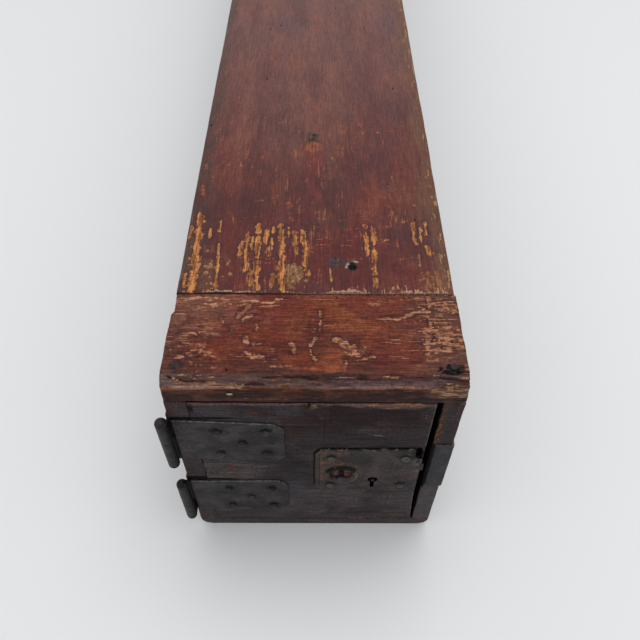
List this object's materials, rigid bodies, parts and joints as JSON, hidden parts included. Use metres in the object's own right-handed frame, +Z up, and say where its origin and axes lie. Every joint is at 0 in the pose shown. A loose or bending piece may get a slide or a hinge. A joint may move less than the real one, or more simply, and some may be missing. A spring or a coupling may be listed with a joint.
{
  "type": "storage chest",
  "caption": "Long narrow wooden chest, fixed top with cross-grain end caps, opening through a strap-hinged end door with an iron lock plate and sliding bolt.",
  "frame": {"origin": "on the floor, under the middle of the body's width and length", "axes": "+X across the chest towards the lock side, +Y along it away from the door, +Z up"},
  "size_m": [0.2535, 1.5264, 0.268],
  "materials": {
    "red_lacquered_wood": "worn red-brown lacquer",
    "dark_stained_wood": "blackened stain, worn at the edges",
    "bare_wood": "unfinished, aged",
    "peg_wood": "stained with the board",
    "wrought_iron": "blackened, hand forged",
    "rusted_iron": "corroded brown",
    "lock_iron": "dull, lightly rusted"
  },
  "bodies": {
    "chest": {"side_board_left": "dark_stained_wood", "side_board_right": "dark_stained_wood", "bottom_board": "dark_stained_wood", "back_end_board": "dark_stained_wood", "top_board": "red_lacquered_wood", "top_cap_front": "red_lacquered_wood", "top_cap_back": "red_lacquered_wood", "cap_nails": "wrought_iron", "top_board_pegs": "peg_wood", "bottom_board_pegs": "peg_wood", "back_end_pegs": "peg_wood", "door_stop_left": "bare_wood", "door_stop_right": "bare_wood", "door_stop_nails_left": "wrought_iron", "door_stop_nails_right": "wrought_iron", "upper_hinge_side_leaf": "wrought_iron", "upper_hinge_side_nails": "wrought_iron", "upper_hinge_pin": "wrought_iron", "lower_hinge_side_leaf": "wrought_iron", "lower_hinge_side_nails": "wrought_iron", "lower_hinge_pin": "wrought_iron", "strike_strap": "wrought_iron", "strike_strap_nails": "wrought_iron"},
    "door": {"door_board": "dark_stained_wood", "upper_hinge_door_leaf": "wrought_iron", "upper_hinge_door_nails": "wrought_iron", "lower_hinge_door_leaf": "wrought_iron", "lower_hinge_door_nails": "wrought_iron", "lock_plate": "rusted_iron", "lock_plate_nails": "rusted_iron", "lock_plate_tack": "rusted_iron", "pull_rosette": "rusted_iron", "pull_knob": "rusted_iron", "lock_case": "lock_iron", "key_pin": "lock_iron", "bolt_spring": "lock_iron"},
    "bolt": {"lock_bolt": "lock_iron"}
  },
  "joints": [
    {"name": "door_hinge", "type": "hinge", "parent": "chest", "child": "door", "pos_m": [-0.1252, -0.7627, 0.12], "axis": [0, 0, -1], "range_deg": [0, 265]},
    {"name": "bolt_slide", "type": "slide", "parent": "door", "child": "bolt", "axis": [1, 0, 0], "range_m": [0, 0.0095]}
  ]
}
